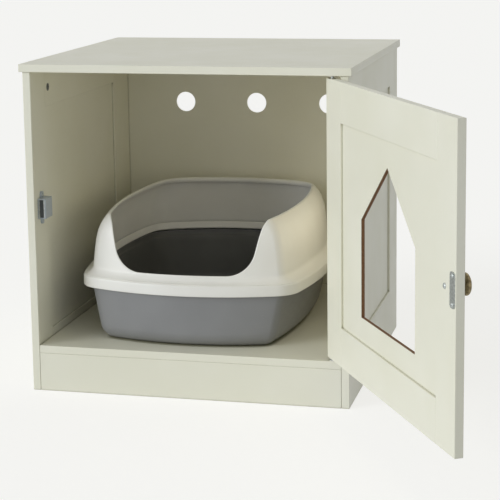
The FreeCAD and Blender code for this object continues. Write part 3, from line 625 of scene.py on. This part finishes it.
def hood_columns():
    """One (low station, rim station, rim z, direction into the wall, share of the lip) for each
    upright section, from the middle of the front to the middle of the rear."""
    edge = entry_edge()
    rim_stations = [station_at(x, z) for x, z, _ in edge]
    end = rim_stations[-1]
    columns = []
    flare_start = SILL_STEPS + TURN_STEPS
    for index, (x, z, inward) in enumerate(edge):
        lip = 0.0
        if index > flare_start:
            grown = (index - flare_start) / (len(edge) - 1 - flare_start)
            lip = FRONT_LIP * max(0.0, grown * 1.25 - 0.25) ** 1.5
        columns.append((end * index / (len(edge) - 1), rim_stations[index], z, inward, lip))
    rest = [end + (2 - end) * step / 6 for step in range(1, 6)]
    rest += [stop for stop in stations(HOOD_STEPS) if stop >= 2]
    for stop in rest:
        grown = min((stop - end) / 0.9, 1.0)
        lip = FRONT_LIP + (1 - FRONT_LIP) * grown * grown * (3 - 2 * grown)
        columns.append((stop, stop, HOOD_TOP_Z, (0.0, -1.0), lip))
    return columns


def slope_z(share):
    """Height of the hollow slope that runs from the skirt up to the wall."""
    return SKIRT_HIGH_Z + (LEDGE_Z - SKIRT_HIGH_Z) * (SLOPE_EVEN * share + (1 - SLOPE_EVEN) * share ** 3)


def hood_section(column):
    """One upright section, up the outside from the skirt's lower edge and down the inside."""
    low_stop, rim_stop, rim_z, inward, lip = column
    section = []

    def put(ledge_share, z, inset, stop):
        section.append((*on_outline(hood_arcs(ledge_share, z, inset), stop), z))

    cap = []
    arcs = hood_arcs(1, rim_z, 0)
    # How far sideways the outline runs for one whole station, at the rim.
    pace = (on_outline(arcs, rim_stop + 0.01)[0] - on_outline(arcs, rim_stop - 0.01)[0]) / 0.02
    last = len(LIP) - 1
    for index, (lip_in, lip_down) in enumerate(LIP):
        angle = math.pi * index / last
        inset = HOOD_WALL / 2 * (1 - math.cos(angle)) * (1 - lip) + lip_in * lip
        depth = EDGE_ROUND * (1 - math.sin(angle)) * (1 - lip) + lip_down * lip
        shift = inward[0] * depth / pace if inward[0] else 0.0
        cap.append((rim_z + inward[1] * depth, inset, rim_stop + shift))

    for inset, up_from_edge in SKIRT_OUTSIDE:
        put(0, SKIRT_LOW_Z + up_from_edge, inset, low_stop)
    wall_z = min(LEDGE_Z, cap[0][0] - 0.3)
    for share in SLOPE_SHARES:
        put(share, min(slope_z(share), wall_z), 0, low_stop)
    for step in range(OUTER_ROWS):
        share = step / OUTER_ROWS
        put(1, wall_z + (cap[0][0] - wall_z) * share, 0, low_stop + (cap[0][2] - low_stop) * share)
    for z, inset, stop in cap:
        put(1, z, inset, stop)
    crease_z = min(INNER_CREASE_Z, cap[-1][0] - 0.5)
    for step in range(1, INNER_ROWS + 1):
        share = step / INNER_ROWS
        stop = cap[-1][2] + (low_stop - cap[-1][2]) * share
        put(1, cap[-1][0] + (crease_z - cap[-1][0]) * share, HOOD_WALL, stop)
    # Inner flange below a fine crease: it leans in over the tray's mouth.
    flange_z = min(crease_z, LEDGE_Z)
    put(1, crease_z - 0.6, HOOD_WALL - 0.5, low_stop)
    put(1, crease_z - CREASE_DEPTH, HOOD_WALL + 0.3, low_stop)
    for share in FLANGE_SHARES:
        z = crease_z - CREASE_DEPTH + (FLANGE_LOW_Z + 0.6 - crease_z + CREASE_DEPTH) * share
        put(1, z, HOOD_WALL + 0.5 + 3.0 * share, low_stop)
    for inset, z in FLANGE_EDGE:
        put(1, FLANGE_LOW_Z + z, HOOD_WALL + inset - 0.4, low_stop)
    for share in INNER_SLOPE_SHARES:
        put(share, max(SEAT_Z, min(slope_z(share), flange_z) - HOOD_WALL), HOOD_WALL * share, low_stop)
    for inset, up_from_edge in SKIRT_INSIDE:
        put(0, SKIRT_LOW_Z + up_from_edge, inset, low_stop)
    return section


def build_hood():
    sections = [hood_section(column) for column in hood_columns()]
    rows = [whole_ring([section[index] for section in sections]) for index in range(len(sections[0]))]
    skin("tray_hood_moulding", rows, True, "cream_polypropylene", "hood", ["tray_hood"], 60)


build_tray()
build_hood()


# --- Knob and screws -------------------------------------------------------------------------------
PIVOT = (225.0, 6.0)
DOOR_MIDDLE_Z = 285.0
ROUND_STEPS = 48
KNOB_X = -201.5
OUT_OF_DOOR = (0, -1, 0)
INTO_CABINET = (0, 1, 0)
ACROSS = (1, 0, 0)
CATCH_SCREW_PLACE = (-235.5, 29.0)      # on the catch's face; the screws sit above and below its middle
CATCH_SCREW_RISE = 19
STRIKE_SCREW_PLACE = (-225.5, 13.0)
STRIKE_SCREW_RISE = 18
DOOR_BACK_Y = 12.0
THREAD_PITCH = 0.9
# Head radius and height, shank radius and length, and bars in the recess: two make a cross.
SMALL_SCREW = (3.0, 1.4, 1.5, 9.0, 2)
KNOB_SCREW = (4.0, 2.2, 2.0, 22.5, 1)
HEAD_RISE = 10


def swing_open(point):
    """A point of the closed door, where it is with the door open."""
    x = point[0] - PIVOT[0]
    y = point[1] - PIVOT[1]
    return (
        PIVOT[0] + x * math.cos(DOOR_TURN) - y * math.sin(DOOR_TURN),
        PIVOT[1] + x * math.sin(DOOR_TURN) + y * math.cos(DOOR_TURN),
        point[2],
    )


def turned_rows(profile, seat, outward, across):
    """Rings of a turned piece: profile is (radius, distance out), across is square to outward."""
    axis = Vector(outward)
    first = Vector(across)
    second = axis.cross(first)
    rows = []
    for radius, out in profile:
        centre = Vector(seat) + axis * out
        ring = []
        for step in range(ROUND_STEPS):
            angle = 2 * math.pi * step / ROUND_STEPS
            spot = centre + (first * math.cos(angle) + second * math.sin(angle)) * radius
            ring.append(tuple(spot))
        rows.append(ring)
    return rows


def build_knob():
    profile = (
        (2.05, 0), (8.4, 0), (8.9, 0.3), (9.0, 0.9), (8.8, 1.5), (8.0, 2.1), (7.2, 3.0), (6.7, 4.2),
        (6.4, 5.6), (6.5, 7.2), (7.2, 8.7), (8.6, 9.8), (10.4, 10.6), (12.2, 11.5), (13.4, 12.6),
        (14.2, 13.8), (14.5, 15.0), (14.3, 16.2), (13.6, 17.3), (12.3, 18.2), (10.2, 19.0), (7.6, 19.5),
        (4.6, 19.9), (2.0, 20.0), (0.6, 20.0),
    )
    seat = (KNOB_X, 0, DOOR_MIDDLE_Z)
    rows = turned_rows(profile, seat, OUT_OF_DOOR, ACROSS)
    # The blind hole in its back takes the end of the fixing screw.
    hole = turned_rows(((0.5, 11.1), (2.05, 11.1)), seat, OUT_OF_DOOR, ACROSS)
    rows = [[swing_open(point) for point in row] for row in hole + rows]
    skin("turned_knob", rows, False, "aged_brass", "door", ["knob"], 60)


def screw_rows(seat, outward, across, head_radius, head_height, shank_radius, shank_length, slots):
    """A round-head screw: point, shank, head and a recess of slots bars in its end."""
    profile = [(0.2, -shank_length), (shank_radius, -shank_length + shank_radius)]
    turns = int((shank_length - shank_radius * 2) / THREAD_PITCH)
    for turn in range(turns):
        out = -shank_length + shank_radius + THREAD_PITCH * turn
        profile += [(shank_radius * 0.84, out + 0.3), (shank_radius, out + 0.6)]
    profile += [(shank_radius * 0.9, -0.2), (shank_radius * 0.9, 0.0), (head_radius * 0.98, 0.0)]
    for step in range(HEAD_RISE + 1):
        angle = math.pi / 2 * step / HEAD_RISE
        radius = max(head_radius * math.cos(angle * 0.96), 0.15)
        profile.append((radius, 0.15 + (head_height - 0.15) * math.sin(angle)))
    rows = turned_rows(profile, seat, outward, across)
    axis = Vector(outward)
    first = Vector(across)
    second = axis.cross(first)
    for row in rows[-HEAD_RISE:]:
        for index, point in enumerate(row):
            from_seat = Vector(point) - Vector(seat)
            sideways = abs(from_seat.dot(first))
            upright = abs(from_seat.dot(second))
            half_bar = head_radius * 0.14
            reach = head_radius * (0.62 if slots == 2 else 1.0)
            in_bar = sideways < half_bar and upright < reach
            in_cross = slots == 2 and upright < half_bar and sideways < reach
            if in_bar or in_cross:
                row[index] = tuple(Vector(point) - axis * head_height * 0.45)
    return rows


def skin_each(name, groups, slot, body, node):
    """Several screws of one kind, each its own piece; the first one takes the node's place."""
    for index, rows in enumerate(groups):
        skin(name + "_" + str(index + 1), rows, False, slot, body, [node] if index == 0 else ())


def build_screws():
    catch_screws = [
        screw_rows((*CATCH_SCREW_PLACE, DOOR_MIDDLE_Z + end * CATCH_SCREW_RISE), ACROSS, INTO_CABINET,
                   *SMALL_SCREW)
        for end in (-1, 1)
    ]
    skin_each("catch_screw", catch_screws, "zinc_plated_steel", "cabinet", "catch_screws")
    strike_screws = []
    for end in (-1, 1):
        seat = (*STRIKE_SCREW_PLACE, DOOR_MIDDLE_Z + end * STRIKE_SCREW_RISE)
        rows = screw_rows(seat, INTO_CABINET, ACROSS, *SMALL_SCREW)
        strike_screws.append([[swing_open(point) for point in row] for row in rows])
    skin_each("strike_screw", strike_screws, "zinc_plated_steel", "door", "strike_screws")
    rows = screw_rows((KNOB_X, DOOR_BACK_Y, DOOR_MIDDLE_Z), INTO_CABINET, ACROSS, *KNOB_SCREW)
    rows = [[swing_open(point) for point in row] for row in rows]
    skin("knob_fixing_screw", rows, False, "zinc_plated_steel", "door", ["knob_screw"])


build_knob()
build_screws()


# --- Camera --------------------------------------------------------------------------------
FRAME_PIXELS = 500
SENSOR_MM = 36.0
FOCAL_PIXELS = 1595.08
CAMERA_PLACE = Vector((0.6522, -2.2572, 0.7479))
CAMERA_TILT = 0.1701
CAMERA_TURN = 0.2396
CAMERA_ROLL = -0.0133
CAMERA_SHIFT = -0.15

level = Vector((-math.sin(CAMERA_TURN), math.cos(CAMERA_TURN), 0))
side = Vector((math.cos(CAMERA_TURN), math.sin(CAMERA_TURN), 0))
up = Vector((0, 0, 1))
forward = level * math.cos(CAMERA_TILT) - up * math.sin(CAMERA_TILT)
upward = up * math.cos(CAMERA_TILT) + level * math.sin(CAMERA_TILT)
right = side * math.cos(CAMERA_ROLL) + upward * math.sin(CAMERA_ROLL)
top = upward * math.cos(CAMERA_ROLL) - side * math.sin(CAMERA_ROLL)

camera_data = bpy.data.cameras.new("camera")
camera_data.sensor_width = SENSOR_MM
camera_data.lens = FOCAL_PIXELS / FRAME_PIXELS * SENSOR_MM
camera_data.shift_y = CAMERA_SHIFT
camera_data.clip_start = 0.05
camera_data.clip_end = 100.0
camera = bpy.data.objects.new("camera", camera_data)
bpy.context.scene.collection.objects.link(camera)
turn = Matrix((right, top, -forward)).transposed()
camera.matrix_world = Matrix.Translation(CAMERA_PLACE) @ turn.to_4x4()
bpy.context.scene.camera = camera


# --- Light, floor and background -------------------------------------------------------------
BACKGROUND = "#F4F3EF"
WORLD_STRENGTH = 0.46
KEY_STRENGTH = 1.70
KEY_FROM_FRONT = math.radians(48)
KEY_HEIGHT = math.radians(14)
DAYLIGHT = (0.93, 0.965, 1.0)       # a little cooler than the paint, as in the photograph

KEY_SPREAD = math.radians(35)
# Levels were set so that the paint renders close to the photograph.
BOUNCE_COLOUR = (1.0, 0.90, 0.70)
BOUNCE_WATTS = 0.125
BOUNCE_WIDTH = 0.34
BOUNCE_HEIGHT = 0.26
BOUNCE_PLACE = (0.226, 0.19, 0.33)
FLOOR_REACH = 30.0
FLOOR_DROP = 0.0002     # keeps the floor clear of the cabinet's underside
BACKDROP_GLOW = 0.785   # with the faint diffuse share it adds up to the background's tone


def seen_directly(tree):
    """1 for rays from the camera, off a shiny surface or through one, 0 for the rays that light."""
    path = add(tree, "ShaderNodeLightPath")
    eye = add(tree, "ShaderNodeMath", {0: path.outputs["Is Camera Ray"], 1: path.outputs["Is Glossy Ray"]},
              operation="MAXIMUM")
    return add(tree, "ShaderNodeMath", {0: eye.outputs[0], 1: path.outputs["Is Transmission Ray"]},
               operation="MAXIMUM")


world = bpy.data.worlds.new("studio")
bpy.context.scene.world = world
world.use_nodes = True
tree = world.node_tree
tree.nodes.clear()
seen = seen_directly(tree)
lit = add(tree, "ShaderNodeBackground", {"Color": (*DAYLIGHT, 1), "Strength": WORLD_STRENGTH})
shown = add(tree, "ShaderNodeBackground", {"Color": srgb(BACKGROUND), "Strength": 1.0})
mixed = add(tree, "ShaderNodeMixShader", {0: seen.outputs[0], 1: lit.outputs[0], 2: shown.outputs[0]})
add(tree, "ShaderNodeOutputWorld", {"Surface": mixed.outputs[0]})

key_data = bpy.data.lights.new("key", "SUN")
key_data.energy = KEY_STRENGTH
key_data.angle = KEY_SPREAD
key_data.color = DAYLIGHT
key = bpy.data.objects.new("key", key_data)
key.rotation_mode = "QUATERNION"
key_run = Vector((
    math.sin(KEY_FROM_FRONT) * math.cos(KEY_HEIGHT),
    math.cos(KEY_FROM_FRONT) * math.cos(KEY_HEIGHT),
    -math.sin(KEY_HEIGHT),
))
key.rotation_quaternion = key_run.to_track_quat("-Z", "Y")
bpy.context.scene.collection.objects.link(key)

# A soft panel by the right wall, facing into the carcass, stands for the light that the walls
# throw on to each other. It lies flat along the wall, clear of the door and of the lifted hood.
bounce_data = bpy.data.lights.new("right_wall_bounce", "AREA")
bounce_data.shape = "RECTANGLE"
bounce_data.size = BOUNCE_WIDTH
bounce_data.size_y = BOUNCE_HEIGHT
bounce_data.energy = BOUNCE_WATTS
bounce_data.color = BOUNCE_COLOUR
bounce = bpy.data.objects.new("right_wall_bounce", bounce_data)
bounce.rotation_mode = "QUATERNION"
bounce.location = BOUNCE_PLACE
bounce.rotation_quaternion = Vector((-1.0, 0.0, 0.0)).to_track_quat("-Z", "Y")
bounce.visible_camera = False
bpy.context.scene.collection.objects.link(bounce)

floor_mesh = bpy.data.meshes.new("floor")
corners = [(x * FLOOR_REACH, y * FLOOR_REACH, 0) for x, y in ((-1, -1), (1, -1), (1, 1), (-1, 1))]
floor_mesh.from_pydata(corners, [], [(0, 1, 2, 3)])
floor = bpy.data.objects.new("floor", floor_mesh)
floor.location.z = -FLOOR_DROP
bpy.context.scene.collection.objects.link(floor)
# What looks at the floor sees the background's tone, with the shadow kept by the faint diffuse share;
# the light that bounces off it comes from a plain pale floor.
material, tree, output, _ = new_material("studio_floor")
seen = seen_directly(tree)
plain = add(tree, "ShaderNodeBsdfDiffuse", {"Color": (0.8, 0.8, 0.79, 1)})
faint = add(tree, "ShaderNodeBsdfDiffuse", {"Color": (0.35, 0.35, 0.35, 1)})
glow = add(tree, "ShaderNodeEmission", {"Color": srgb(BACKGROUND), "Strength": BACKDROP_GLOW})
backdrop = add(tree, "ShaderNodeAddShader", {0: faint.outputs[0], 1: glow.outputs[0]})
mixed = add(tree, "ShaderNodeMixShader", {0: seen.outputs[0], 1: plain.outputs[0], 2: backdrop.outputs[0]})
tree.links.new(mixed.outputs[0], output.inputs["Surface"])
floor_mesh.materials.append(material)

bpy.context.scene.view_settings.view_transform = "Standard"
